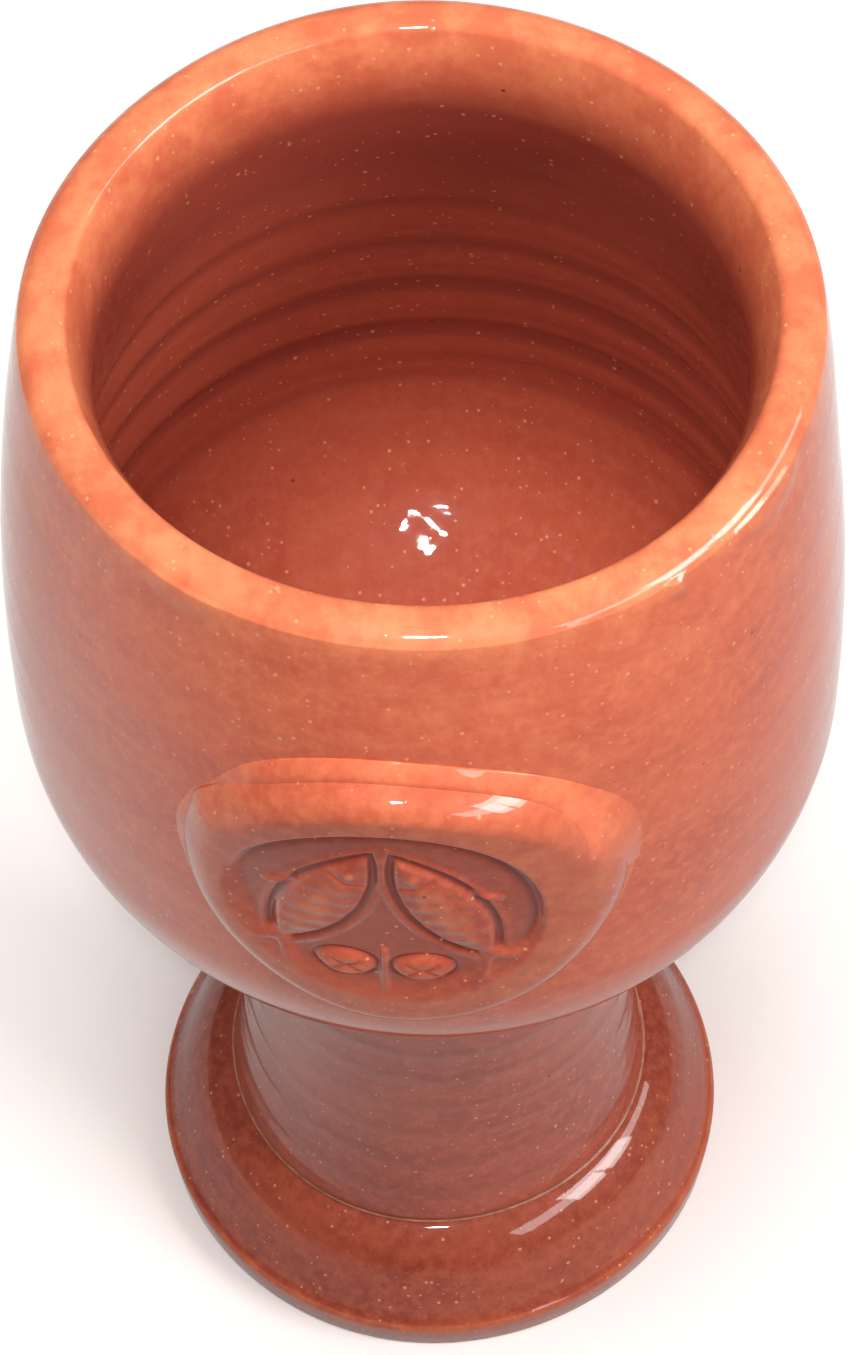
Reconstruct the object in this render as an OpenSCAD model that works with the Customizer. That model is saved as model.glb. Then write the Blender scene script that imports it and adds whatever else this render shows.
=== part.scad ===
// Wheel-thrown, glazed red clay communion chalice.
// Thrown pieces stuck together with slip: a barrel bowl, a hollow waisted
// stem and a flared foot, with a coil worked into the neck and a stamped
// medallion pressed on the front of the bowl.
// Millimetres. Z is up, the origin is the centre of the foot ring on the
// table, and the medallion faces -Y.

/* [Whole chalice] */
// Height from the table to the top of the lip
height = 178.6; // [170:0.2:200]
// Thickness of the slip (liquid clay) in each joint
slip_t = 0.4; // [0.3:0.1:0.8]

/* [Bowl] */
// Diameter at the sharp outer edge of the lip
rim_d = 80; // [76:1:84]
// Height of the rounded top of the lip above that edge
lip_crown = 1.3; // [1.2:0.1:1.5]
// Narrowest inside diameter, just under the lip
throat_d = 66.4; // [62:0.2:68]
// Depth of that narrow place below the lip edge
throat_drop = 9; // [7:0.5:12]
// Widest outside diameter
belly_d = 91.8; // [88:0.2:94]
// Depth of the widest place below the lip edge
belly_drop = 61; // [55:1:66]
// Outside radius of the turn under the belly
hip_r = 31.5; // [28:0.5:34]
// Outside radius of curvature of the bottom
bottom_r = 60; // [56:1:66]
// Wall thickness at the widest place
belly_wall = 6.2; // [5:0.1:7]
// Thickness of the bottom at the centre
bottom_wall = 6.4; // [5:0.1:8]

/* [Stem] */
// Diameter where the stem meets the foot
seam_d = 53.6; // [50:0.2:56]
// Height of that seam
seam_z = 17.7; // [15:0.1:20]
// Diameter at the waist
waist_d = 47.2; // [44:0.2:49]
// Height of the waist
waist_z = 54; // [48:1:60]
// Wall thickness of the hollow stem
stem_wall = 6; // [5:0.1:7]
// Radius of the coil worked into the neck under the bowl
coil_fillet_r = 7; // [6:0.5:8]

/* [Foot] */
// Diameter of the foot
foot_d = 73.2; // [70:0.2:78]
// Height of the middle of the rounding on the foot's outer edge
foot_edge_z = 4.6; // [3.6:0.1:5]
// Radius of the shoulder between the stem's seam and the foot's side
foot_shoulder_r = 8; // [6:0.5:10]
// Inside diameter of the ring that stands on the table
foot_ring_d = 61; // [58:0.5:63]

/* [Medallion] */
// Diameter of the pressed-on pad
medal_d = 45; // [42:1:46]
// Depth of its centre below the lip edge
medal_drop = 39.5; // [38:0.5:41]
// Turn of the pad from the front, towards -X
medal_turn = 4.5; // [0:0.5:8]
// Distance of the face of the pad from the axis, at its foot
medal_face_r = 48; // [47.8:0.1:48.2]
// Distance of the face from the axis, at its top
medal_top_r = 47.2; // [47:0.1:47.5]
// Diameter of the stamped field
stamp_d = 34; // [32:0.5:36]
// Depth of the stamped field
stamp_depth = 0.8; // [0.5:0.1:1]
// Length of a fish's body
fish_l = 22; // [20:0.5:23]
// Width of a fish's body
fish_w = 7.2; // [6:0.2:9]
// Lean of each fish
fish_lean = 27; // [20:1:30]
// Length of a loaf
loaf_l = 6.8; // [6:0.2:8]

/* [Hidden] */
$fn = 96;

// Heights and radii that follow from the sizes above.
edge_z = height - lip_crown;
belly_z = edge_z - belly_drop;
belly_r = belly_d / 2;
hip_c = belly_r - hip_r;
bottom_c = belly_z + sqrt(pow(bottom_r - hip_r, 2) - hip_c * hip_c);
hip_turn = atan2(bottom_c - belly_z, hip_c);
side_in = belly_r - rim_d / 2;
side_r = (belly_drop * belly_drop + side_in * side_in) / side_in / 2;
side_turn = asin(belly_drop / side_r);

// The inside of the bowl: its floor is rounder at the hip than the outside.
hip_in_r = 21;
belly_in_r = belly_r - belly_wall;
belly_in_drop = 2;
belly_in_z = belly_z - belly_in_drop;
hip_in_c = belly_in_r - hip_in_r;
floor_z = bottom_c - bottom_r + bottom_wall;
// The floor's radius that meets the inner hip with no corner.
hip_in_rise = belly_in_z - hip_in_r - floor_z;
floor_r = hip_in_r + (hip_in_c * hip_in_c + hip_in_rise * hip_in_rise) / (2 * hip_in_rise);
floor_c = floor_z + floor_r;
hip_in_turn = atan2(floor_c - belly_in_z, hip_in_c);

// The lip: a round shoulder inside the sharp edge, a flat crown, a tight turn
// inwards, and a long roll that stands upright at the throat. Each meets the
// next with no corner.
crown_x = rim_d / 2 - 3.5;
crown_r = 8;
crown_turn = 80;
lip_out_r = 3.2;
lip_out_turn = 50;
lip_out_x = crown_x + (crown_r - lip_out_r) * cos(crown_turn);
lip_out_z = height - crown_r + (crown_r - lip_out_r) * sin(crown_turn);
lip_in_r = 1.3;
lip_in_z = height - lip_in_r;
throat_r = throat_d / 2;
throat_z = edge_z - throat_drop;
roll_in = crown_x - throat_r;
roll_up = lip_in_z - throat_z;
roll_r = (roll_in * roll_in + roll_up * roll_up - lip_in_r * lip_in_r) / 2 / (roll_in - lip_in_r);
roll_turn = asin(roll_up / (roll_r - lip_in_r));

// The stem and its arcs.
stem_side_r = (pow(waist_z - seam_z, 2) + pow((seam_d - waist_d) / 2, 2)) / (seam_d - waist_d);
stem_c = waist_d / 2 + stem_side_r;
stem_bottom_z = seam_z + slip_t;
stem_in_r = seam_d / 2 - stem_wall;
stem_foot_turn = asin((waist_z - stem_bottom_z) / stem_side_r);
bore_side_r = stem_side_r + stem_wall;
// The bore runs a little past both ends of the stem.
bore_over = 1.05;
stem_reach = 88;
stem_head_turn = asin((stem_reach - waist_z) / stem_side_r);

// The coil's hollow touches the stem and the bowl with no corner.
function coil_out(z) =
    stem_c - sqrt(pow(stem_side_r - coil_fillet_r, 2) - pow(z - waist_z, 2));
function coil_up(x) = bottom_c - sqrt(pow(bottom_r + coil_fillet_r, 2) - x * x);
coil_guess_z = 82;
coil_x = coil_out(coil_up(coil_out(coil_guess_z)));
coil_z = coil_up(coil_x);
// It stops a little short of both touching points, so it has no knife edge.
coil_blunt = 1.2;
coil_room = 10;
coil_edge = coil_x * bottom_r / (bottom_r + coil_fillet_r) - coil_blunt;
coil_bottom = coil_z + coil_blunt
    + coil_fillet_r * (coil_z - waist_z) / (stem_side_r - coil_fillet_r);

// The foot.
foot_r = foot_d / 2;
edge_round = 1;
edge_x = foot_r - edge_round;
foot_ring_out_r = foot_r - 0.3;
// The shoulder turns down to the side, and the side turns out to the edge.
shoulder_turn = 60;
side_lean = 31;
flare_turn = 55;
flare_r = 3;
flare_x = edge_x + (edge_round + flare_r) * cos(flare_turn);
flare_z = foot_edge_z + (edge_round + flare_r) * sin(flare_turn);
shoulder_x = seam_d / 2 - foot_shoulder_r * cos(shoulder_turn);
shoulder_z = seam_z - foot_shoulder_r * sin(shoulder_turn);
hollow_middle = [stem_in_r + 1.2, 0.6 * seam_z];
hollow_low = [foot_ring_d / 2 - 4, 0.25 * seam_z];

// The medallion.
medal_z = edge_z - medal_drop;
// The face leans in towards its top from this far below the pad's centre.
lean_drop = 10;
stamp_shift = -1.6;
fish_z = 2.2;
fish_x = 6.3;
tail_w = 7;
tail_l = 5.5;
tail_notch = 2;
tail_root = 1.5;
loaf_z = -11;
loaf_x = 4;
deep = 60;

// Points on an arc about [cx, cz], from angle a to angle b.
function arc(cx, cz, r, a, b, n) =
    [for (i = [0:n]) [cx + r * cos(a + (b - a) * i / n), cz + r * sin(a + (b - a) * i / n)]];

// The same arc without its first point, to carry a line on.
function arc_on(cx, cz, r, a, b, n) =
    [for (i = [1:n]) [cx + r * cos(a + (b - a) * i / n), cz + r * sin(a + (b - a) * i / n)]];

// Outside of the bowl from the bottom centre to the lip edge, grown by g.
function bowl_outside(g) = concat(
    arc(0, bottom_c, bottom_r + g, -90, -hip_turn, 16),
    arc_on(hip_c, belly_z, hip_r + g, -hip_turn, 0, 14),
    arc_on(belly_r - side_r, belly_z, side_r + g, 0, side_turn, 12));

// The lip, from just inside its sharp edge to the throat.
function lip() = concat(
    arc(lip_out_x, lip_out_z, lip_out_r, lip_out_turn, crown_turn, 4),
    arc_on(crown_x, height - crown_r, crown_r, crown_turn, 90, 2),
    arc_on(crown_x, lip_in_z, lip_in_r, 90, 180 - roll_turn, 5),
    arc_on(throat_r + roll_r, throat_z, roll_r, 180 - roll_turn, 180, 5));

// Inside of the bowl from under the throat to the floor's centre.
wall_steps = 12;
function bowl_inside() = concat(
    [for (i = [1:wall_steps])
        [throat_r + (belly_in_r - throat_r) * sin(90 * i / wall_steps),
         throat_z - (throat_z - belly_in_z) * i / wall_steps]],
    arc_on(hip_in_c, belly_in_z, hip_in_r, 0, -hip_in_turn, 14),
    arc_on(0, floor_c, floor_r, -hip_in_turn, -90, 16));

module bowl_block(g) {
    rotate_extrude() polygon(concat(bowl_outside(g), [[0, edge_z]]));
}

module bowl() {
    color("#c8704f") rotate_extrude()
        polygon(concat(bowl_outside(0), lip(), bowl_inside()));
}

// Half outline of a solid stem, to the height top.
function stem_outside() = concat(
    [[0, stem_bottom_z]],
    arc(stem_c, waist_z, stem_side_r, 180 + stem_foot_turn, 180 - stem_head_turn, 20),
    [[0, stem_reach]]);

module stem_half() {
    difference() {
        polygon(stem_outside());
        polygon(concat([[0, 0]],
            arc(stem_c, waist_z, bore_side_r,
                180 + stem_foot_turn * bore_over, 180 - stem_head_turn * bore_over, 16),
            [[0, stem_reach * bore_over]]));
    }
}

// The stem's top is cut to sit against the round bottom of the bowl.
module stem() {
    color("#b4604a") rotate_extrude() difference() {
        stem_half();
        polygon(concat(bowl_outside(slip_t), [[0, edge_z]]));
    }
}

// Slip between the stem's top and the bowl.
module bowl_slip() {
    color("#d98a63") rotate_extrude() difference() {
        intersection() {
            stem_half();
            polygon(concat(bowl_outside(slip_t), [[0, edge_z]]));
        }
        polygon(concat(bowl_outside(0), [[0, edge_z]]));
    }
}

// Coil of clay smoothed into the corner under the bowl.
module neck_coil() {
    color("#bd6850") rotate_extrude() difference() {
        translate([waist_d / 2, coil_bottom]) square([coil_edge - waist_d / 2, coil_room]);
        translate([coil_x, coil_z]) circle(r = coil_fillet_r);
        polygon(stem_outside());
        polygon(concat(bowl_outside(0), [[0, edge_z]]));
    }
}

// Slip between the stem and the foot.
module foot_slip() {
    color("#d98a63") rotate_extrude()
        translate([stem_in_r, seam_z]) square([stem_wall, slip_t]);
}

// The foot: a shouldered cone with a small flare at its edge, on a standing
// ring and hollow underneath.
module foot() {
    color("#a9553c") rotate_extrude() polygon(concat(
        [[foot_ring_d / 2, 0], [foot_ring_out_r, 0]],
        arc(edge_x, foot_edge_z, edge_round, 0, flare_turn, 4),
        arc_on(flare_x, flare_z, -flare_r, flare_turn, side_lean, 4),
        arc(shoulder_x, shoulder_z, foot_shoulder_r, side_lean, shoulder_turn, 5),
        [[stem_in_r, seam_z], hollow_middle, hollow_low]));
}

// A round bar through the front of the bowl where the medallion sits.
module through_pad(d, shift) {
    rotate([0, 0, -medal_turn]) translate([shift, 0, medal_z]) rotate([90, 0, 0])
        cylinder(d = d, h = deep);
}

// Everything nearer the axis than the pad's face, less a depth.
module face_block(less) {
    rotate_extrude() polygon([
        [0, medal_z - medal_d], [medal_face_r - less, medal_z - medal_d],
        [medal_face_r - less, medal_z - lean_drop], [medal_top_r - less, medal_z + medal_d / 2],
        [medal_top_r - less, medal_z + medal_d], [0, medal_z + medal_d]]);
}

// One fish, head up: a pointed oval body and a forked tail.
module fish_outline() {
    side = (fish_l * fish_l / 4 + fish_w * fish_w / 4) / fish_w;
    intersection() {
        translate([side - fish_w / 2, 0]) circle(r = side);
        translate([fish_w / 2 - side, 0]) circle(r = side);
    }
    translate([0, tail_root - fish_l / 2])
        polygon([[0, 0], [tail_w / 2, -tail_l], [0, tail_notch - tail_l], [-tail_w / 2, -tail_l]]);
}

// A round-topped loaf.
module loaf_outline() {
    intersection() {
        circle(d = loaf_l);
        translate([-loaf_l / 2, 0]) square([loaf_l, loaf_l / 2]);
    }
}

// The stamp: two fish leaning head to head over two loaves.
module emblem() {
    rotate([0, 0, -medal_turn]) translate([stamp_shift, 0, medal_z]) rotate([90, 0, 0])
        linear_extrude(deep) {
            for (s = [-1, 1]) {
                translate([s * fish_x, fish_z]) rotate(s * fish_lean) fish_outline();
                translate([s * loaf_x, loaf_z]) loaf_outline();
            }
        }
}

module medallion() {
    color("#cf7350") difference() {
        intersection() {
            face_block(0);
            through_pad(medal_d, 0);
        }
        bowl_block(slip_t);
        difference() {
            through_pad(stamp_d, stamp_shift);
            face_block(stamp_depth);
            emblem();
        }
    }
}

// Slip between the medallion and the bowl.
module medallion_slip() {
    color("#d98a63") difference() {
        intersection() {
            bowl_block(slip_t);
            through_pad(medal_d, 0);
        }
        bowl_block(0);
    }
}

bowl();
bowl_slip();
neck_coil();
stem();
foot_slip();
foot();
medallion_slip();
medallion();
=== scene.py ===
import math

import bpy
import numpy as np
from mathutils import Matrix, Vector


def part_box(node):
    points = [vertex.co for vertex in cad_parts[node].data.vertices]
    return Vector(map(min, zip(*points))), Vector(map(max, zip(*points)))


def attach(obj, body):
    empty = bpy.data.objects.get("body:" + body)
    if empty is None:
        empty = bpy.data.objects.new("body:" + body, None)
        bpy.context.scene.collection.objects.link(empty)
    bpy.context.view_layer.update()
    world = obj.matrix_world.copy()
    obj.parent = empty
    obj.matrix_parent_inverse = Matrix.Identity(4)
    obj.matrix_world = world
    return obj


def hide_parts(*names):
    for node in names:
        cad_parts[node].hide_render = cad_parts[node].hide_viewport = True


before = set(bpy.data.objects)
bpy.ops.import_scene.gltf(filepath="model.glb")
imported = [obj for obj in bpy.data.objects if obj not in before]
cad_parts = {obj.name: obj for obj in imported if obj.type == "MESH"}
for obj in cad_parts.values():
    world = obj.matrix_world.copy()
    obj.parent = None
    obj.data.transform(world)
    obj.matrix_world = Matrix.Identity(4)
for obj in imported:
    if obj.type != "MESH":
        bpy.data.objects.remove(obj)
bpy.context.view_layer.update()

mm = 0.001

# Foot: a flared ring of red clay, thrown on the wheel and trimmed to a
# rounded edge. It stands on a bare ring and is hollow underneath.
foot_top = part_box("foot")[1].z
foot_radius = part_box("foot")[1].x
seam_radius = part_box("foot_slip")[1].x
wall = 6 * mm
ring_inside = 30.5 * mm
ring_outside = foot_radius - 0.3 * mm
ring_edge = 0.6 * mm
edge_round = 1 * mm
edge_up = 4.6 * mm
hollow_middle = [seam_radius - wall + 1.2 * mm, 0.6 * foot_top]
hollow_low = [ring_inside - 4 * mm, 0.25 * foot_top]


def bend(across, up, radius, start, end, steps):
    """Points (radius, height) round an arc, with its angles in degrees."""
    turn = np.radians(np.linspace(start, end, steps + 1))
    return np.stack([across + radius * np.cos(turn), up + radius * np.sin(turn)], 1)


def even(points, gap):
    """The same line with a point about every gap."""
    points = np.array(points, float)
    steps = np.hypot(*np.diff(points, axis=0).T)
    points = points[np.concatenate([[True], steps > 1e-9])]
    along = np.concatenate([[0], np.cumsum(np.hypot(*np.diff(points, axis=0).T))])
    places = np.linspace(0, along[-1], max(2, int(round(along[-1] / gap)) + 1))
    return np.stack([np.interp(places, along, points[:, i]) for i in (0, 1)], 1)


def hand_sway(turn, height):
    """How far the wet clay has moved off a true circle at an angle and height."""
    return (0.20 * np.cos(2 * turn + 14 * height)
            + 0.16 * np.cos(3 * turn + 1.1 - 31 * height)
            + 0.07 * np.cos(5 * turn + 2.3 + 47 * height)) * mm


def finger_grooves(turn, height, pitch):
    """Narrow grooves left in a spiral between the broad ridges of the fingers."""
    place = height / pitch + turn / math.tau - 0.29
    uneven = 0.75 + 0.25 * np.sin(2 * turn + 190 * height)
    between = 0.35 * np.abs(np.cos(math.pi * (2 * place + 0.3))) ** 5
    return uneven * np.abs(np.cos(math.pi * place)) ** 9 + between * np.cos(turn - 0.7) ** 2


def close_up(name, spots, quads, paint):
    """Makes a smooth piece from its points and faces, with its glaze painted on."""
    mesh = bpy.data.meshes.new(name)
    mesh.from_pydata(spots.tolist(), [], quads)
    mesh.validate()
    for mark, values in paint.items():
        layer = mesh.attributes.new(mark, "FLOAT", "POINT")
        layer.data.foreach_set("value", np.asarray(values, np.float32))
    mesh.shade_smooth()
    piece = bpy.data.objects.new(name, mesh)
    bpy.context.scene.collection.objects.link(piece)
    return piece


def throw(name, outline, turns=288, pitch=6 * mm, touch=None):
    """Turns an outline round the axis. Each row is radius, height, depth of the
    finger grooves, thinness of the glaze and how much the colour is darkened,
    by glaze pooling and by painted shade. The touch is what hands and glaze
    add to the radius and height at a place."""
    outline = np.array(outline, float)
    capped = outline[0, 0] < 1e-7
    body = outline[1:-1] if capped else outline
    turn = np.arange(turns) * math.tau / turns
    around, up = np.meshgrid(turn, body[:, 1])
    out = body[:, :1] + hand_sway(around, up)
    groove = finger_grooves(around, up, pitch) * body[:, 2:3]
    out += groove
    lift = lip_wave(around) * lip_share(up)
    if touch:
        pushed, raised = touch(around, up, body[:, :1])
        out += pushed
        lift += raised
    spots = np.stack([out * np.cos(around), out * np.sin(around), up + lift], 2).reshape(-1, 3)
    rows = len(body)
    here = np.arange(turns)
    beside = (here + 1) % turns
    quads = []
    for i in range(rows - 1 if capped else rows):
        low, high = i * turns, (i + 1) % rows * turns
        quads += np.stack([low + here, low + beside, high + beside, high + here], 1).tolist()
    paint = {"thin": np.repeat(body[:, 3], turns),
             "pooled_and_shade": (body[:, 4:5] + 0.9 * groove / (0.4 * mm)).clip(0, 1).ravel()}
    if capped:
        ends = [outline[0], outline[-1]]
        tips = [[0, 0, end[1]] for end in ends]
        spots = np.concatenate([spots, tips])
        first, last = rows * turns, rows * turns + 1
        top = (rows - 1) * turns
        quads += [[first, int(b), int(a)] for a, b in zip(here, beside)]
        quads += [[last, int(top + a), int(top + b)] for a, b in zip(here, beside)]
        for mark, column in (("thin", 3), ("pooled_and_shade", 4)):
            paint[mark] = np.concatenate([paint[mark], [end[column] for end in ends]])
    return close_up(name, spots, quads, paint)


def coated(points, grooves=0.0, thin=0.0, pooled_and_shade=0.0):
    """An outline with the same grooves and glaze all along it."""
    points = np.asarray(points, float)
    rest = np.tile([grooves, thin, pooled_and_shade], (len(points), 1))
    return np.concatenate([points, rest], 1)


# The lip waves a little up and down, since the potter trims it by eye.
lip_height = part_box("bowl")[1].z


def lip_wave(turn):
    return (0.4 * np.cos(turn - 0.9) + 0.2 * np.cos(2 * turn - 0.8) + 0.15 * np.cos(3 * turn + 0.4)) * mm


def lip_share(height):
    share = np.clip((height - (lip_height - 25 * mm)) / (25 * mm), 0, 1)
    return share * share * (3 - 2 * share)


# From the seam the foot rolls over a shoulder, runs down its side and turns
# out into a small flare behind the rounded edge.
shoulder_round = 11 * mm
shoulder_start, side_turn, flare_turn = 68, 24.5, 55
flare_round = 3 * mm
shoulder = bend(seam_radius - shoulder_round * math.cos(math.radians(shoulder_start)),
                foot_top - shoulder_round * math.sin(math.radians(shoulder_start)),
                shoulder_round, side_turn, shoulder_start, 10)
edge_top = bend(foot_radius - edge_round, edge_up, edge_round, 0, flare_turn, 9)
flare_middle = edge_top[-1] + flare_round * np.array(
    [math.cos(math.radians(flare_turn)), math.sin(math.radians(flare_turn))])
foot_flare = bend(*flare_middle, -flare_round, flare_turn, side_turn, 8)
foot_side = even([foot_flare[-1], shoulder[0]], 0.6 * mm)[1:-1]
foot_grooves = 0.06 * mm

foot_line = np.concatenate([
    coated([[ring_inside, 0], [ring_outside - ring_edge, 0]]),
    coated(bend(ring_outside - ring_edge, ring_edge, ring_edge, -80, -15, 4)),
    coated(edge_top, thin=0.25),
    coated(foot_flare[1:]),
    coated(foot_side, grooves=foot_grooves),
    coated(shoulder, grooves=foot_grooves),
    coated([[seam_radius - wall, foot_top], hollow_middle, hollow_low])])
foot = throw("foot_thrown", foot_line)


def glaze(name, clay, deep, light, spots=1.0, streaks=0.5):
    """Clear gloss glaze over red clay: mottled colour, streaks along the
    throwing, pale grains of grog, a few dark iron spots and pinholes."""
    made = bpy.data.materials.new(name)
    made.use_nodes = True
    tree = made.node_tree
    link = tree.links.new
    shader = tree.nodes["Principled BSDF"]
    shader.inputs["IOR"].default_value = 1.5
    shader.inputs["Specular IOR Level"].default_value = 0.05
    shader.inputs["Coat Weight"].default_value = 1.0
    shader.inputs["Coat Roughness"].default_value = 0.04
    shader.inputs["Coat IOR"].default_value = 1.38
    place = tree.nodes.new("ShaderNodeTexCoord").outputs["Object"]

    def stretched(across, up):
        node = tree.nodes.new("ShaderNodeMapping")
        node.inputs["Scale"].default_value = (across, across, up)
        link(place, node.inputs["Vector"])
        return node.outputs["Vector"]

    def noise(vector, scale, detail=3.0, rough=0.55):
        node = tree.nodes.new("ShaderNodeTexNoise")
        node.inputs["Scale"].default_value = scale
        node.inputs["Detail"].default_value = detail
        node.inputs["Roughness"].default_value = rough
        link(vector, node.inputs["Vector"])
        return node.outputs["Fac"]

    def spread(value, low, high, to_low=0.0, to_high=1.0):
        node = tree.nodes.new("ShaderNodeMapRange")
        node.interpolation_type = "SMOOTHSTEP"
        for socket, amount in zip(("From Min", "From Max", "To Min", "To Max"),
                                  (low, high, to_low, to_high)):
            node.inputs[socket].default_value = amount
        link(value, node.inputs["Value"])
        return node.outputs["Result"]

    def sums(kind, first, second):
        node = tree.nodes.new("ShaderNodeMath")
        node.operation = kind
        for socket, value in zip(node.inputs, (first, second)):
            if isinstance(value, (int, float)):
                socket.default_value = value
            else:
                link(value, socket)
        return node.outputs["Value"]

    def blend(share, under, over):
        node = tree.nodes.new("ShaderNodeMix")
        node.data_type = "RGBA"
        for socket, value in ((node.inputs["Factor"], share), (node.inputs["A"], under),
                              (node.inputs["B"], over)):
            if isinstance(value, tuple):
                socket.default_value = (*value, 1)
            elif isinstance(value, (int, float)):
                socket.default_value = value
            else:
                link(value, socket)
        return node.outputs["Result"]

    def grains(vector, scale, size, kept):
        """Round grains: one in each cell, and only the share kept of the cells has one."""
        node = tree.nodes.new("ShaderNodeTexVoronoi")
        node.inputs["Scale"].default_value = scale
        link(vector, node.inputs["Vector"])
        parts = tree.nodes.new("ShaderNodeSeparateColor")
        link(node.outputs["Color"], parts.inputs["Color"])
        chosen = spread(parts.outputs["Red"], 1 - kept - 0.02, 1 - kept)
        reach = sums("MULTIPLY", parts.outputs["Green"], size)
        near = sums("SUBTRACT", reach, node.outputs["Distance"])
        return sums("MULTIPLY", chosen, spread(near, 0.0, size * 0.5))

    def painted(mark):
        node = tree.nodes.new("ShaderNodeAttribute")
        node.attribute_name = mark
        return node.outputs["Fac"]

    broad = noise(place, 45, 4)
    bands = noise(stretched(25, 420), 1.0, 4, 0.6)
    mottle = noise(place, 620, 5, 0.65)
    colour = blend(spread(broad, 0.3, 0.75), deep, clay)
    colour = blend(spread(bands, 0.45, 0.8, 0, streaks), colour, light)
    colour = blend(spread(mottle, 0.35, 0.75, 0, 0.8), colour, light)
    colour = blend(spread(noise(place, 1500, 3), 0.52, 0.75, 0, 0.45), colour, deep)
    patchy = spread(noise(place, 170, 5, 0.6), 0.38, 0.62)
    sandy = blend(patchy, (0.64, 0.155, 0.070), (0.80, 0.25, 0.11))
    colour = blend(sums("MULTIPLY", painted("thin"), spread(mottle, 0.1, 0.7, 0.55, 1.0)), colour, sandy)
    # Darker and a little purple where glaze pools, and where painted shade lies inside the bowl.
    colour = blend(painted("pooled_and_shade"), colour, (0.52 * deep[0], 0.56 * deep[1], 0.74 * deep[2]))
    grog = grains(place, 1300, 0.40, 0.25 * spots)
    dashes = grains(place, 430, 0.16, 0.34 * spots)
    iron = grains(place, 210, 0.09, 0.30 * spots)
    pale = sums("MAXIMUM", grog, dashes)
    colour = blend(sums("MULTIPLY", pale, 0.6), colour, (0.78, 0.38, 0.21))
    colour = blend(sums("MULTIPLY", iron, 0.8), colour, (0.07, 0.02, 0.015))
    link(colour, shader.inputs["Base Color"])
    link(spread(mottle, 0.2, 0.8, 0.32, 0.55), shader.inputs["Roughness"])

    skin = noise(place, 240, 3)
    height = sums("ADD", sums("MULTIPLY", skin, 0.35), sums("MULTIPLY", bands, 0.25))
    height = sums("ADD", height, sums("MULTIPLY", pale, 0.12))
    height = sums("SUBTRACT", height, sums("MULTIPLY", iron, 0.6))
    for socket, strength in (("Normal", 0.55), ("Coat Normal", 0.22)):
        bump = tree.nodes.new("ShaderNodeBump")
        bump.inputs["Strength"].default_value = strength
        bump.inputs["Distance"].default_value = 0.25 * mm
        link(height, bump.inputs["Height"])
        link(bump.outputs["Normal"], shader.inputs[socket])
    return made


def finish_piece(piece, material, node):
    """Glazes a piece, joins it to the chalice and puts it in its node's place."""
    piece.data.materials.append(material)
    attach(piece, "root")
    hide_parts(node)


finish_piece(foot, glaze("foot_glaze", (0.36, 0.068, 0.034), (0.25, 0.038, 0.022), (0.45, 0.10, 0.05)),
             "foot")

# Slip: the thin clay paste between foot and stem. A little is squeezed out of
# the seam and fires to a fine pale line.
slip_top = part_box("foot_slip")[1].z
squeezed = 0.15 * mm
seam_line = coated(np.concatenate([
    [[seam_radius - wall, foot_top - squeezed], [seam_radius - squeezed, foot_top - squeezed]],
    bend(seam_radius - squeezed, (foot_top + slip_top) / 2, 2 * squeezed, -70, 70, 4),
    [[seam_radius - squeezed, slip_top + squeezed], [seam_radius - wall, slip_top + squeezed]]]))


def slip(name):
    """Fired slip: finely grained red clay, matt under a thin run of glaze."""
    made = bpy.data.materials.new(name)
    made.use_nodes = True
    tree = made.node_tree
    shader = tree.nodes["Principled BSDF"]
    shader.inputs["Coat Weight"].default_value = 0.6
    shader.inputs["Coat Roughness"].default_value = 0.12
    place = tree.nodes.new("ShaderNodeTexCoord").outputs["Object"]
    grain = tree.nodes.new("ShaderNodeTexNoise")
    grain.inputs["Scale"].default_value = 900
    grain.inputs["Detail"].default_value = 5
    tree.links.new(place, grain.inputs["Vector"])
    ramp = tree.nodes.new("ShaderNodeValToRGB")
    ramp.color_ramp.elements[0].position = 0.35
    ramp.color_ramp.elements[0].color = (0.30, 0.085, 0.045, 1)
    ramp.color_ramp.elements[1].position = 0.7
    ramp.color_ramp.elements[1].color = (0.50, 0.19, 0.10, 1)
    tree.links.new(grain.outputs["Fac"], ramp.inputs["Fac"])
    tree.links.new(ramp.outputs["Color"], shader.inputs["Base Color"])
    bump = tree.nodes.new("ShaderNodeBump")
    bump.inputs["Strength"].default_value = 0.5
    bump.inputs["Distance"].default_value = 0.1 * mm
    tree.links.new(grain.outputs["Fac"], bump.inputs["Height"])
    tree.links.new(bump.outputs["Normal"], shader.inputs["Normal"])
    rough = tree.nodes.new("ShaderNodeMapRange")
    rough.inputs["To Min"].default_value = 0.55
    rough.inputs["To Max"].default_value = 0.8
    tree.links.new(grain.outputs["Fac"], rough.inputs["Value"])
    tree.links.new(rough.outputs["Result"], shader.inputs["Roughness"])
    return made


fired_slip = slip("fired_slip")
finish_piece(throw("foot_slip_line", seam_line), fired_slip, "foot_slip")

# Stem: a waisted tube, thrown hollow. Its top is cut to sit against the round
# bottom of the bowl.
waist_radius = 23.6 * mm
waist_height = 54 * mm
neck_guess = 85 * mm
flare = ((waist_height - foot_top) ** 2 + (seam_radius - waist_radius) ** 2)
flare /= 2 * (seam_radius - waist_radius)
flare_centre = waist_radius + flare

# The bowl's round bottom, which the stem, the slip and the coil all follow.
bowl_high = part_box("bowl")[1]
belly_radius = bowl_high.x
lip_turn_in = 1.3 * mm
edge_z = bowl_high.z - lip_turn_in
belly_z = edge_z - 61 * mm
hip_radius = 31.5 * mm
bottom_radius = 60 * mm
hip_centre = belly_radius - hip_radius
bottom_centre = belly_z + math.sqrt((bottom_radius - hip_radius) ** 2 - hip_centre ** 2)
hip_turn = math.degrees(math.atan2(bottom_centre - belly_z, hip_centre))
slip_thick = 0.4 * mm


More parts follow.
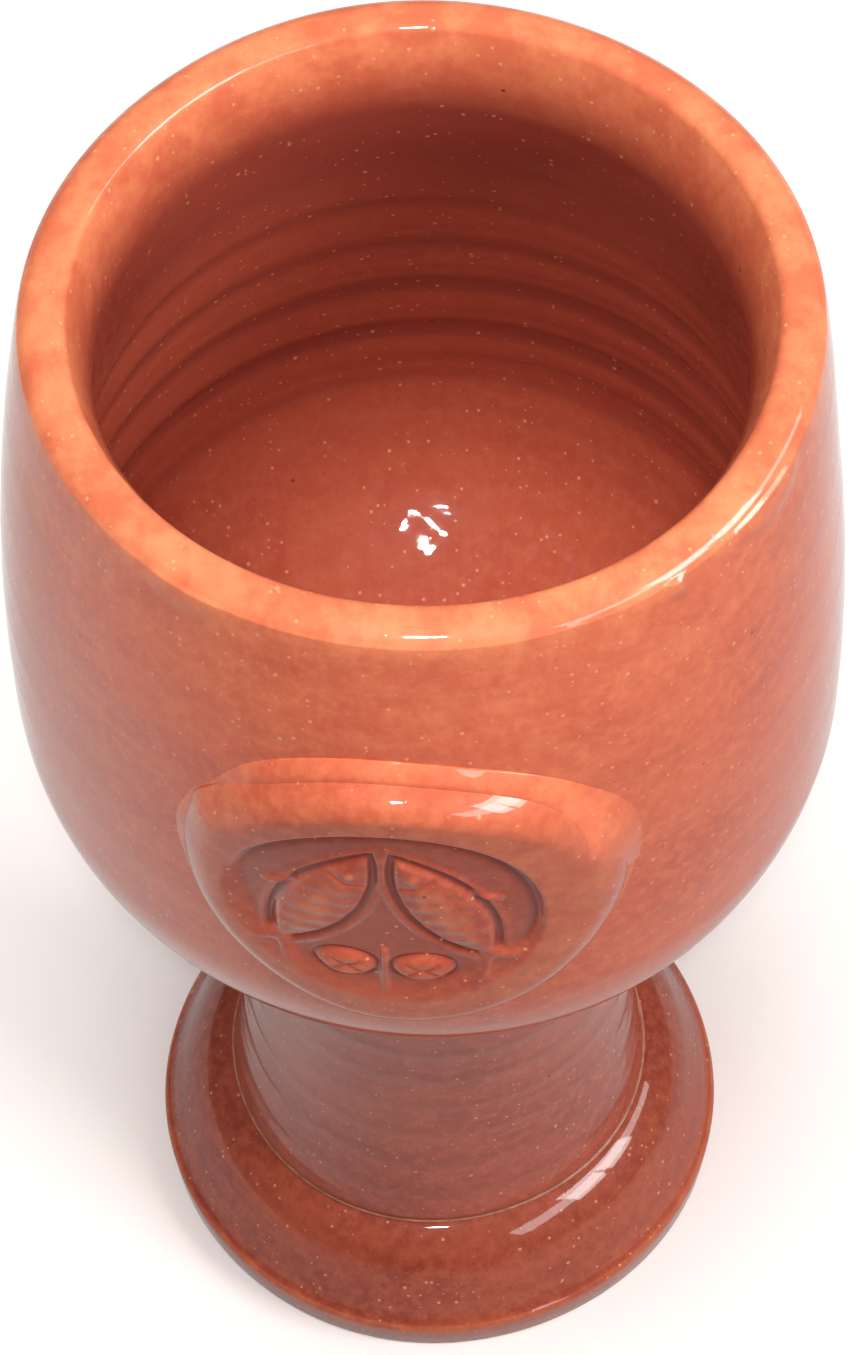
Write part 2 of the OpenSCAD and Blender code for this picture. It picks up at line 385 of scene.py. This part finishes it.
def bottom_at(radius, gap=0.0):
    """Height of the bowl's bottom at a radius, or of a skin that gap outside it."""
    return bottom_centre - np.sqrt((bottom_radius + gap) ** 2 - np.square(radius))


def stem_at(height, inner=False):
    """Radius of the stem's outside, or of its bore, at a height."""
    grow = wall if inner else 0
    return flare_centre - np.sqrt((flare + grow) ** 2 - (height - waist_height) ** 2)


def neck_meets(inner=False):
    """Where the stem's side reaches the slip on the bowl's bottom."""
    height = neck_guess
    for _ in range(30):
        height = bottom_at(stem_at(height, inner), slip_thick)
    return float(height)


neck_out, neck_in = neck_meets(), neck_meets(inner=True)
side = np.linspace(slip_top, neck_out, 110)
bore = np.linspace(neck_in, slip_top, 50)
top_radii = np.linspace(stem_at(neck_out), stem_at(neck_in, True), 10)[1:-1]
stem_line = np.concatenate([
    coated(np.stack([stem_at(side), side], 1), grooves=0.09 * mm),
    coated(np.stack([top_radii, bottom_at(top_radii, slip_thick)], 1)),
    coated(np.stack([stem_at(bore, True), bore], 1), grooves=0.2 * mm, pooled_and_shade=0.3)])
stem = throw("stem_thrown", stem_line, pitch=7 * mm)
finish_piece(stem, glaze("stem_glaze", (0.42, 0.078, 0.042), (0.30, 0.047, 0.028), (0.51, 0.12, 0.065)),
             "stem")

# Slip between the stem's top and the bottom of the bowl. It is buried in the
# joint, and only its inner edge shows from underneath.
short_of_edge = 0.2 * mm
soaked_in = 0.1 * mm
joint = np.linspace(stem_at(neck_in, True) + short_of_edge, stem_at(neck_out) - short_of_edge, 12)
under_bowl = coated(np.concatenate([
    np.stack([joint, bottom_at(joint, slip_thick + soaked_in)], 1),
    np.stack([joint[::-1], bottom_at(joint[::-1], -soaked_in)], 1)]))
finish_piece(throw("bowl_slip_layer", under_bowl), fired_slip, "bowl_slip")

# Bowl: a barrel thrown from one ball of clay. The lip is compressed into a
# soft roll with a sharp outer edge, and the fingers leave rings on the inside.
rim_radius = 40 * mm
throat_radius = 33.2 * mm
throat_z = edge_z - 9 * mm
barrel = ((belly_radius - rim_radius) ** 2 + (edge_z - belly_z) ** 2)
barrel /= 2 * (belly_radius - rim_radius)
barrel_turn = math.degrees(math.asin((edge_z - belly_z) / barrel))
crown_radius = rim_radius - 3.5 * mm
crown_round, lip_round = 8 * mm, 3.2 * mm
crown_turn, bevel_turn = 80, 47
edge_blunt, edge_sink = 0.5 * mm, 0.35 * mm
roll_in = crown_radius - throat_radius
roll_up = edge_z - throat_z
roll = (roll_in ** 2 + roll_up ** 2 - lip_turn_in ** 2) / 2 / (roll_in - lip_turn_in)
roll_turn = math.degrees(math.asin(roll_up / (roll - lip_turn_in)))

hollow_radius = belly_radius - 6.2 * mm
hollow_z = belly_z - 2 * mm
turn_in = 21 * mm
turn_centre = hollow_radius - turn_in
floor_z = bottom_centre - bottom_radius + 6.4 * mm
turn_rise = hollow_z - turn_in - floor_z
floor_round = turn_in + (turn_centre ** 2 + turn_rise ** 2) / 2 / turn_rise
floor_centre = floor_z + floor_round
floor_turn = math.degrees(math.atan2(floor_centre - hollow_z, turn_centre))

outside = even(np.concatenate([
    bend(0, bottom_centre, bottom_radius, -90, -hip_turn, 40),
    bend(hip_centre, belly_z, hip_radius, -hip_turn, 0, 40)[1:],
    bend(belly_radius - barrel, belly_z, barrel, 0, barrel_turn, 60)[1:]]), 0.8 * mm)
lean_out = np.array([math.cos(math.radians(crown_turn)), math.sin(math.radians(crown_turn))])
lip_middle = (crown_round - lip_round) * lean_out + (crown_radius, bowl_high.z - crown_round)
sharp_edge = bend(rim_radius - edge_blunt, edge_z - edge_sink, edge_blunt, 6, bevel_turn, 6)
lip_top = even(np.concatenate([
    sharp_edge[-1:], bend(*lip_middle, lip_round, bevel_turn, crown_turn, 12),
    bend(crown_radius, bowl_high.z - crown_round, crown_round, crown_turn, 90, 6)[1:]]), 0.2 * mm)[1:]
inner_turn = bend(crown_radius, edge_z, lip_turn_in, 90, 180 - roll_turn, 14)[1:]
lip_roll = bend(throat_radius + roll, throat_z, roll, 180 - roll_turn, 180, 22)[1:]
depth = np.linspace(0, 1, 70)[1:]
ease_in = 0.13
widening = depth ** 2 / (depth + ease_in) * (1 + ease_in)
inner_wall = np.stack([
    throat_radius + (hollow_radius - throat_radius) * np.sin(widening * math.pi / 2),
    throat_z + (hollow_z - throat_z) * depth], 1)
inner_floor = even(np.concatenate([
    bend(turn_centre, hollow_z, turn_in, 0, -floor_turn, 30),
    bend(0, floor_centre, floor_round, -floor_turn, -90, 50)[1:]]), 0.8 * mm)[1:]


def coat_bowl():
    """The bowl's outline with its grooves and its glaze, thin on the lip.
    Inside, the roll under the lip, the wall and the floor are darkened with
    painted shade, darkest a little below the lip.
    """
    out = coated(outside[:-1], grooves=0.035 * mm)
    near = np.clip((out[:, 1] - (edge_z - 3 * mm)) / (3 * mm), 0, 1)
    out[:, 2] *= 1 - near
    above_belly = np.clip((out[:, 1] - belly_z) / (edge_z - belly_z), 0, 1)
    out[:, 3] = 0.45 * near + 0.35 * above_belly ** 2
    lip = coated(np.concatenate([sharp_edge, lip_top, inner_turn, lip_roll]), thin=0.85)
    # Down the roll under the lip the thin glaze fades out and painted shade deepens: a soft painted shadow
    # under the lip.
    below_lip = np.linspace(0, 1, len(lip_roll))
    lip[-len(lip_roll):, 3] *= 1 - below_lip
    lip[-len(lip_roll):, 4] = 0.8 * below_lip ** 2
    wall_line = coated(inner_wall, grooves=0.42 * mm)
    wall_line[:, 2] *= 0.12 + 0.88 * np.clip((depth - 0.25) / 0.4, 0, 1)
    # Inner wall darkened: painted shade, darkest a little below the lip, with glaze pooling in the grooves
    # on top.
    wall_line[:, 4] = 0.58 + 0.4 * np.exp(-((depth - 0.15) / 0.2) ** 2)
    # The floor is darkened evenly: glaze pooling in the bottom, and painted shade.
    floor = coated(inner_floor, grooves=0.25 * mm, pooled_and_shade=0.45)
    floor[:, 2] *= np.clip((floor[:, 1] - hollow_z + 12 * mm) / (14 * mm), 0, 1)
    return np.concatenate([out, lip, wall_line, floor])


def run_of_glaze(turn, height, middle, low, wide, thick):
    """A run of glaze that hangs from the lip's edge and ends in a soft bead."""
    across = (turn - middle + math.pi) % math.tau - math.pi
    across = np.abs(across * rim_radius) / wide
    bottom = edge_z - low * np.sqrt(np.clip(1 - across ** 2, 0, 1))
    ends = np.clip((height - bottom) / (0.5 * mm), 0, 1) * np.clip(1.5 * (1 - across), 0, 1)
    return thick * np.sin(ends * math.pi / 2)


def lip_touch(turn, height, radius):
    """The lip is a little oval, thicker at the back left, and has runs of glaze
    outside. The floor of the bowl has lumps where the sponge has pressed it."""
    outer = radius > crown_radius
    oval = (0.4 * np.cos(2 * turn) + 0.4 * np.cos(turn - 0.9) - 0.05) * mm * lip_share(height)
    thick = -0.5 * mm * (0.5 + 0.5 * np.cos(turn - 2.3)) ** 2 * lip_share(height) ** 3
    runs = (run_of_glaze(turn, height, -0.93, 2.2 * mm, 0.9 * mm, 0.45 * mm)
            + run_of_glaze(turn, height, -0.60, 3.4 * mm, 6.5 * mm, 0.22 * mm)
            + run_of_glaze(turn, height, -2.2, 2.6 * mm, 5 * mm, 0.18 * mm))
    pushed = oval + np.where(outer, runs * (height < edge_z + 0.1 * mm), thick)
    x, y = radius * np.cos(turn), radius * np.sin(turn)
    lumps = np.sin(x * 1150 + 2 * np.sin(y * 420)) * np.sin(y * 1020 + 1.3) + 0.7 * np.sin(x * 640 - y * 830)
    on_floor = (radius < hollow_radius - 2 * mm) & (height < hollow_z) & (height > floor_z - mm)
    return pushed, 0.055 * mm * lumps * on_floor


bowl = throw("bowl_thrown", coat_bowl(), turns=360, pitch=9.3 * mm, touch=lip_touch)
clay_red, clay_deep, clay_light = (0.67, 0.133, 0.064), (0.54, 0.086, 0.044), (0.75, 0.185, 0.088)
bowl_glaze = glaze("bowl_glaze", clay_red, clay_deep, clay_light)
finish_piece(bowl, bowl_glaze, "bowl")

# Neck coil: a thin coil of clay, worked into the corner under the bowl with a
# fingertip, so that stem and bowl flow together.
finger = 7 * mm
coil_height = 82 * mm
blend_turn = 8
coil_out = flare_centre - math.sqrt((flare - finger) ** 2 - (coil_height - waist_height) ** 2)
coil_up = bottom_centre - math.sqrt((bottom_radius + finger) ** 2 - coil_out ** 2)
to_stem = math.degrees(math.atan2(coil_up - waist_height, coil_out - flare_centre))
to_bowl = math.degrees(math.atan2(bottom_centre - coil_up, -coil_out))
bite = 0.3 * mm
coil_inside = coil_out - 2.5 * mm
coil_line = coated(np.concatenate([
    bend(coil_out, coil_up, finger, to_stem - blend_turn, to_bowl + blend_turn, 24),
    [[coil_inside, bottom_at(coil_inside) + 2 * bite],
     [stem_at(neck_out) - 2 * bite, neck_out + bite],
     [stem_at(coil_up) - 2 * bite, coil_up + finger * 0.3]]]), grooves=0.05 * mm)
finish_piece(throw("neck_coil_worked", coil_line, pitch=3 * mm),
             glaze("coil_glaze", (0.38, 0.075, 0.042), (0.27, 0.045, 0.028), (0.47, 0.115, 0.065)),
             "neck_coil")

# Medallion: a ball of clay flattened on the front of the bowl and stamped with
# two fish over two loaves. Slip holds it, and a bead of slip rings it.
pad_low, pad_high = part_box("medallion")
pad_radius = (pad_high.z - pad_low.z) / 2
pad_z = (pad_high.z + pad_low.z) / 2
pad_turn = math.radians(4.5)
stamp_radius = 17 * mm
stamp_shift = -1.6 * mm
fish_long, fish_wide = 11 * mm, 3.7 * mm
fish_across, fish_up, fish_lean = 6.3 * mm, 2.2 * mm, math.radians(27)
fish_side = (fish_long ** 2 + fish_wide ** 2) / (2 * fish_wide)
face_far, face_lean = 48.0, 0.8


def soft(value, low, high):
    share = np.clip((value - low) / (high - low), 0, 1)
    return share * share * (3 - 2 * share)


def bowl_skin(height):
    """Radius of the bowl's outside at a height on its side."""
    up = np.asarray(height, float)
    barrel_part = belly_radius - barrel + np.sqrt(barrel ** 2 - np.maximum(up - belly_z, 0) ** 2)
    hip_part = hip_centre + np.sqrt(np.maximum(hip_radius ** 2 - np.minimum(up - belly_z, 0) ** 2, 0))
    return np.where(up > belly_z, barrel_part, hip_part)


def pad_face(height):
    """Radius of the pad's face: nearly upright, so it is thickest at the top."""
    share = np.clip((height - (pad_z - 10 * mm)) / (pad_radius + 10 * mm), 0, 1)
    return (face_far - face_lean * share) * mm


def stroke(x, y, start, end, width, deep):
    """A pressed line from start to end: how much it lowers or raises each point."""
    (ax, ay), (bx, by) = start, end
    along = ((x - ax) * (bx - ax) + (y - ay) * (by - ay)) / ((bx - ax) ** 2 + (by - ay) ** 2)
    along = np.clip(along, 0, 1)
    away = np.hypot(x - ax - along * (bx - ax), y - ay - along * (by - ay))
    return deep * np.exp(-(away / width) ** 2)


def fish_relief(x, y, hand):
    """One fish, head up: a domed body with gill, eye, fin, scales and a tail."""
    turn = -hand * fish_lean
    dx, dy = x - hand * fish_across, y - fish_up
    across = dx * math.cos(turn) - dy * math.sin(turn)
    along = dx * math.sin(turn) + dy * math.cos(turn)
    across = across * hand
    reach = np.maximum(np.hypot(across + fish_side - fish_wide, along),
                       np.hypot(across - fish_side + fish_wide, along)) - fish_side
    body = soft(-reach, -0.1 * mm, 0.8 * mm) * 0.4 * mm + soft(-reach, 0, 3.2 * mm) * 0.4 * mm
    line = 0.16 * mm * np.exp(-((reach - 1.0 * mm) / (0.4 * mm)) ** 2)
    line = line - 0.30 * mm * np.exp(-((reach - 0.2 * mm) / (0.38 * mm)) ** 2)
    inside = soft(-reach, 0.3 * mm, 0.9 * mm)
    scales = np.sin(across / (0.55 * mm) + along / (1.5 * mm))
    scales = scales * np.sin(along / (0.55 * mm) - across / (1.5 * mm))
    behind_gill = soft(5.2 * mm - along, 0, 0.6 * mm) * soft(along + 8 * mm, 0, mm)
    body = body + 0.06 * mm * scales * inside * behind_gill
    gill = np.abs(np.hypot(across, along - 9.5 * mm) - 4.0 * mm)
    body = body - 0.22 * mm * np.exp(-(gill / (0.35 * mm)) ** 2) * inside * (along < 7 * mm)
    eye = np.hypot(across - 0.3 * mm, along - 7.3 * mm)
    body = body + 0.25 * mm * np.exp(-(eye / (0.5 * mm)) ** 2)
    tail = 0.0
    for side_of in (-1, 1):
        lobe = stroke(across, along, (0, -10.2 * mm), (side_of * 3.2 * mm, -14.6 * mm), 1.0 * mm, 0.55 * mm)
        tail = np.maximum(tail, lobe)
        tail = tail - stroke(across, along, (side_of * 0.4 * mm, -11.5 * mm),
                             (side_of * 2.2 * mm, -14.2 * mm), 0.22 * mm, 0.16 * mm)
    fin = stroke(across, along, (3.6 * mm, 1.5 * mm), (5.6 * mm, -1.2 * mm), 0.45 * mm, 0.3 * mm)
    return np.maximum(np.maximum(body, tail), fin) + line * (1 - soft(tail, 0, 0.3 * mm))


def loaf_relief(x, y, hand):
    """A round-topped loaf with a cross cut in its crust."""
    dx, dy = x - hand * 4.0 * mm, y + 9.6 * mm
    body = 1 - (dx / (3.3 * mm)) ** 2 - (dy / (2.5 * mm)) ** 2
    crust = 0.75 * mm * soft(body, -0.05, 0.75)
    cut = stroke(dx, dy, (-1.5 * mm, -0.9 * mm), (1.5 * mm, 0.9 * mm), 0.28 * mm, 0.25 * mm)
    cut = cut + stroke(dx, dy, (-1.5 * mm, 0.9 * mm), (1.5 * mm, -0.9 * mm), 0.28 * mm, 0.25 * mm)
    groove = 0.25 * mm * np.exp(-((body + 0.1) / 0.12) ** 2)
    return crust - cut * soft(body, 0, 0.4) - groove


def stamp(across, up):
    """How far the stamp moves the pad's face in or out at a point."""
    x, y = across - stamp_shift, up
    around = np.arctan2(y, x)
    away = np.hypot(x, y) + 0.35 * mm * np.sin(3 * around + 1.0)
    pressed = soft(np.sin(around + 0.35), -0.75, 0.35)
    inside = soft((stamp_radius - away) / (1.3 + 3.4 * (1 - pressed)), 0, mm)
    rim = 0.25 * mm * pressed * np.exp(-((away - stamp_radius + 1.2 * mm) / (0.7 * mm)) ** 2)
    shape = -0.75 * mm * inside - rim
    for hand in (-1, 1):
        shape = shape + fish_relief(x, y, hand) * inside + loaf_relief(x, y, hand) * inside
    bar = stroke(x, y, (0, -6.3 * mm), (0, -14.2 * mm), 0.4 * mm, 0.45 * mm)
    return shape + bar * inside


def on_bowl(across, up, radius):
    """Points at a place on the pad and a distance from the axis."""
    turn = np.arcsin(across / radius) - pad_turn
    radius = radius + hand_sway(turn - math.pi / 2, up)
    return np.stack([radius * np.sin(turn), -radius * np.cos(turn), up], -1)


spokes = 420
spin = np.arange(spokes) * math.tau / spokes


def press(ways, skins):
    """A round pad on the bowl: for each ring, how far out it lies on the pad
    and a function that gives its distance from the axis."""
    uneven = 1 + 0.012 * np.cos(2 * spin + 0.6) + 0.01 * np.cos(3 * spin - 1.2) + 0.004 * np.cos(7 * spin)
    uneven += 0.018 * np.exp(-((spin - 2.66) / 0.09) ** 2)
    rings = []
    for way, skin in zip(ways, skins):
        across = way * np.cos(spin) * uneven
        up = pad_z + way * np.sin(spin) * uneven
        rings.append(on_bowl(across, up, skin(across, up)))
    rows = len(rings)
    here = np.arange(spokes)
    beside = (here + 1) % spokes
    quads = []
    for i in range(rows - 1):
        low, high = i * spokes, (i + 1) * spokes
        quads += np.stack([low + here, high + here, high + beside, low + beside], 1).tolist()
    spots = np.concatenate(rings)
    tips = [rings[0].mean(0), rings[-1].mean(0)]
    spots = np.concatenate([spots, tips])
    first, last = rows * spokes, rows * spokes + 1
    top = (rows - 1) * spokes
    quads += [[first, int(a), int(b)] for a, b in zip(here, beside)]
    quads += [[last, int(top + b), int(top + a)] for a, b in zip(here, beside)]
    return spots, quads


pad_shoulder = 3.2 * mm
middle = 0.08 * mm
face_ways = np.linspace(middle, pad_radius - pad_shoulder, 150)
lean = np.radians(np.linspace(0, 90, 26))[1:]
edge_ways = pad_radius - pad_shoulder + pad_shoulder * np.sin(lean) ** 0.9
edge_drop = 1 - np.cos(lean) ** 1.3
under_ways = np.linspace(pad_radius, middle, 16)


def face_skin(across, up):
    return pad_face(up) + stamp(across, up - pad_z)


def edge_skin(share):
    """The pad's round edge, that share of the way down from its face."""
    def skin(across, up):
        face = face_skin(across, up)
        base = bowl_skin(up) + slip_thick
        return face + (base - face) * share
    return skin


def under_skin(across, up):
    return bowl_skin(up) + slip_thick * 0.5


pad_ways = [*face_ways, *edge_ways, *under_ways]
pad_skins = [face_skin] * len(face_ways)
pad_skins += [edge_skin(share) for share in edge_drop]
pad_skins += [under_skin] * len(under_ways)
pad_spots, pad_quads = press(pad_ways, pad_skins)


def pad_paint():
    """Glaze pools in the stamped lines and breaks thin on the raised edges."""
    turn = np.arctan2(pad_spots[:, 0], -pad_spots[:, 1]) + pad_turn
    radius = np.hypot(pad_spots[:, 0], pad_spots[:, 1])
    level = stamp(radius * np.sin(turn), pad_spots[:, 2] - pad_z)
    return {"thin": soft(level, -0.15 * mm, 0.15 * mm) * 0.75,
            "pooled_and_shade": soft(-level, 0.55 * mm, 1.0 * mm) * 0.75}


medallion = close_up("medallion_stamped", pad_spots, pad_quads, pad_paint())
finish_piece(medallion, glaze("medallion_glaze", (0.49, 0.092, 0.048), (0.38, 0.06, 0.032),
                               (0.58, 0.13, 0.068), spots=0.9, streaks=0.25),
             "medallion")

# The bead stands up as a soft roll along the top. The fingertip that smooths
# it wipes it out flat at the right and misses it at the upper left, where a
# fold stays.
wiped = np.exp(-((spin - 0.38) / 0.32) ** 2)
missed = 1 - 0.9 * np.exp(-((spin - 2.6) / 0.28) ** 2)
at_top = soft(np.sin(spin), -0.3, 0.8)
bead_out = (0.7 + 1.0 * at_top + 1.2 * wiped) * missed * mm + 0.1 * mm
bead_in = (0.4 + 0.5 * at_top + 1.4 * wiped) * mm
bead_tall = (0.3 + 0.75 * at_top) * missed * mm
bead_steps = np.linspace(0, 1, 22)
inside_ways = np.linspace(middle, pad_radius - 2.4 * mm, 10)
bead_ways = [*inside_ways,
             *[pad_radius - bead_in + (bead_in + bead_out) * step for step in bead_steps],
             *inside_ways[::-1]]


def slip_skin(lift):
    """The slip under the pad, at a lift over the bowl."""
    def skin(across, up):
        return bowl_skin(up) + lift
    return skin


def bead_skin(step):
    """The bead is a roll along the top and hollowed by the fingertip below it;
    where it is wiped it runs on from the pad."""
    rolled = (1 - step ** 2.2) * (1 + 0.3 * math.sin(math.pi * step))
    hollowed = bead_tall * (at_top * rolled + (1 - at_top) * (1 - step) ** 2.2)
    flowing = (1 - step) ** 2 * (1 + 2 * step)

    def skin(across, up):
        pad_proud = pad_face(up) - bowl_skin(up) - 0.2 * mm
        lift = (1 - wiped) * hollowed + wiped * flowing * pad_proud
        return bowl_skin(up) + lift - 0.1 * mm * step ** 6
    return skin


bead_skins = [slip_skin(0.5 * slip_thick + 0.05 * mm)] * len(inside_ways)
bead_skins += [bead_skin(step) for step in bead_steps]
bead_skins += [slip_skin(-0.15 * mm)] * len(inside_ways)
bead_spots, bead_quads = press(bead_ways, bead_skins)
medallion_bead = close_up("medallion_slip_bead", bead_spots, bead_quads,
                          {"thin": np.full(len(bead_spots), 0.35)})
finish_piece(medallion_bead, bowl_glaze, "medallion_slip")

# A plain white table top for the chalice to stand on. What the camera sees of
# it is tinted a little warm: painted red light thrown off the chalice.
table = bpy.data.meshes.new("table_top")
half = 1.5
corners = [(-half, -half, 0), (half, -half, 0), (half, half, 0), (-half, half, 0)]
table.from_pydata(corners, [], [(0, 1, 2, 3)])
floor = bpy.data.objects.new("table_top", table)
bpy.context.scene.collection.objects.link(floor)
paper = bpy.data.materials.new("white_paper")
paper.use_nodes = True
paper_nodes = paper.node_tree.nodes
paper_link = paper.node_tree.links.new
paper_nodes["Principled BSDF"].inputs["Roughness"].default_value = 0.7
# The sheet itself is white, but it throws less light on the chalice than it
# shows, least from the front right: a painted shadow of the one who looks at
# it, standing there.
seen = paper_nodes.new("ShaderNodeLightPath")
sheet_place = paper_nodes.new("ShaderNodeTexCoord")
to_back_left = paper_nodes.new("ShaderNodeVectorMath")
to_back_left.operation = "DOT_PRODUCT"
to_back_left.inputs[1].default_value = (-0.5, 0.85, 0)
paper_link(sheet_place.outputs["Object"], to_back_left.inputs[0])
in_light = paper_nodes.new("ShaderNodeMapRange")
in_light.interpolation_type = "SMOOTHSTEP"
in_light.inputs["From Min"].default_value = -0.16
in_light.inputs["From Max"].default_value = 0.10
paper_link(to_back_left.outputs["Value"], in_light.inputs["Value"])
thrown = paper_nodes.new("ShaderNodeMix")
thrown.data_type = "RGBA"
thrown.inputs["A"].default_value = (0.24, 0.22, 0.21, 1)
thrown.inputs["B"].default_value = (0.72, 0.70, 0.69, 1)
paper_link(in_light.outputs["Result"], thrown.inputs["Factor"])
shade = paper_nodes.new("ShaderNodeMix")
shade.data_type = "RGBA"
# Painted red light thrown off the chalice: the warm tint of the sheet as the camera sees it.
shade.inputs["B"].default_value = (0.92, 0.85, 0.82, 1)
paper_link(seen.outputs["Is Camera Ray"], shade.inputs["Factor"])
paper_link(thrown.outputs["Result"], shade.inputs["A"])
paper_link(shade.outputs["Result"], paper_nodes["Principled BSDF"].inputs["Base Color"])
table.materials.append(paper)

# Light: a white room that mirrors darker than it shines, a soft light overhead,
# a row of windows on the right with two bright panes, and a small lamp by the
# camera. The glare lamps only show as reflections in the glaze.
world = bpy.data.worlds.new("white_room")
world.use_nodes = True
world_nodes = world.node_tree.nodes
world_link = world.node_tree.links.new
room_seen = world_nodes.new("ShaderNodeLightPath")
room = world_nodes.new("ShaderNodeMix")
room.data_type = "RGBA"
room.inputs["A"].default_value = (1.0, 0.985, 0.97, 1)
room.inputs["B"].default_value = (0.45, 0.44, 0.44, 1)
world_link(room_seen.outputs["Is Glossy Ray"], room.inputs["Factor"])
world_link(room.outputs["Result"], world_nodes["Background"].inputs["Color"])
world_nodes["Background"].inputs["Strength"].default_value = 0.24
bpy.context.scene.world = world


def lamp(name, place, aim, width, height, power, mirrored=True, lights=True):
    light = bpy.data.lights.new(name, "AREA")
    light.shape = "RECTANGLE"
    light.size, light.size_y, light.energy = width, height, power
    holder = bpy.data.objects.new(name, light)
    holder.location = place
    holder.rotation_euler = (Vector(aim) - Vector(place)).to_track_quat("-Z", "Y").to_euler()
    holder.visible_glossy = mirrored
    holder.visible_diffuse = lights
    bpy.context.scene.collection.objects.link(holder)


bowl_middle = (0, 0, 0.12)
lamp("overhead", (-0.08, -0.1, 1.3), bowl_middle, 0.5, 0.5, 12, mirrored=False)
for side_name, place in (("left", (0.80, -0.46, 0.84)), ("right", (0.92, -0.20, 0.84))):
    lamp(f"window_{side_name}_pane", place, bowl_middle, 0.26, 0.40, 4.4)
    lamp(f"window_{side_name}_glare", place, bowl_middle, 0.26, 0.40, 5.5, lights=False)
lamp("window_row_glare", (0.90, -0.38, 0.88), bowl_middle, 1.6, 0.22, 9, lights=False)
by_camera = (0.0, -0.27, 0.56)
lamp("camera_lamp", by_camera, bowl_middle, 0.03, 0.012, 0.85)
lamp("camera_lamp_glare", by_camera, bowl_middle, 0.05, 0.025, 1.6, lights=False)

# Camera: looks down over the lip at the medallion, held a little crooked.
eye = Vector((0, -0.2476, 0.5116))
pitch_down = math.radians(58.47)
roll_angle = math.radians(-1.50)
ahead = Vector((0, math.cos(pitch_down), -math.sin(pitch_down)))
upward = Vector((0, math.sin(pitch_down), math.cos(pitch_down)))
right = Vector((1, 0, 0))
cam_right = math.cos(roll_angle) * right + math.sin(roll_angle) * upward
cam_up = -math.sin(roll_angle) * right + math.cos(roll_angle) * upward
lens = bpy.data.cameras.new("camera")
lens.lens = 111.1
lens.sensor_width = 36
lens.clip_start = 0.01
camera = bpy.data.objects.new("camera", lens)
camera.matrix_world = Matrix((
    (cam_right.x, cam_up.x, -ahead.x, eye.x), (cam_right.y, cam_up.y, -ahead.y, eye.y),
    (cam_right.z, cam_up.z, -ahead.z, eye.z), (0, 0, 0, 1)))
bpy.context.scene.collection.objects.link(camera)
bpy.context.scene.camera = camera
bpy.context.scene.view_settings.view_transform = "Standard"
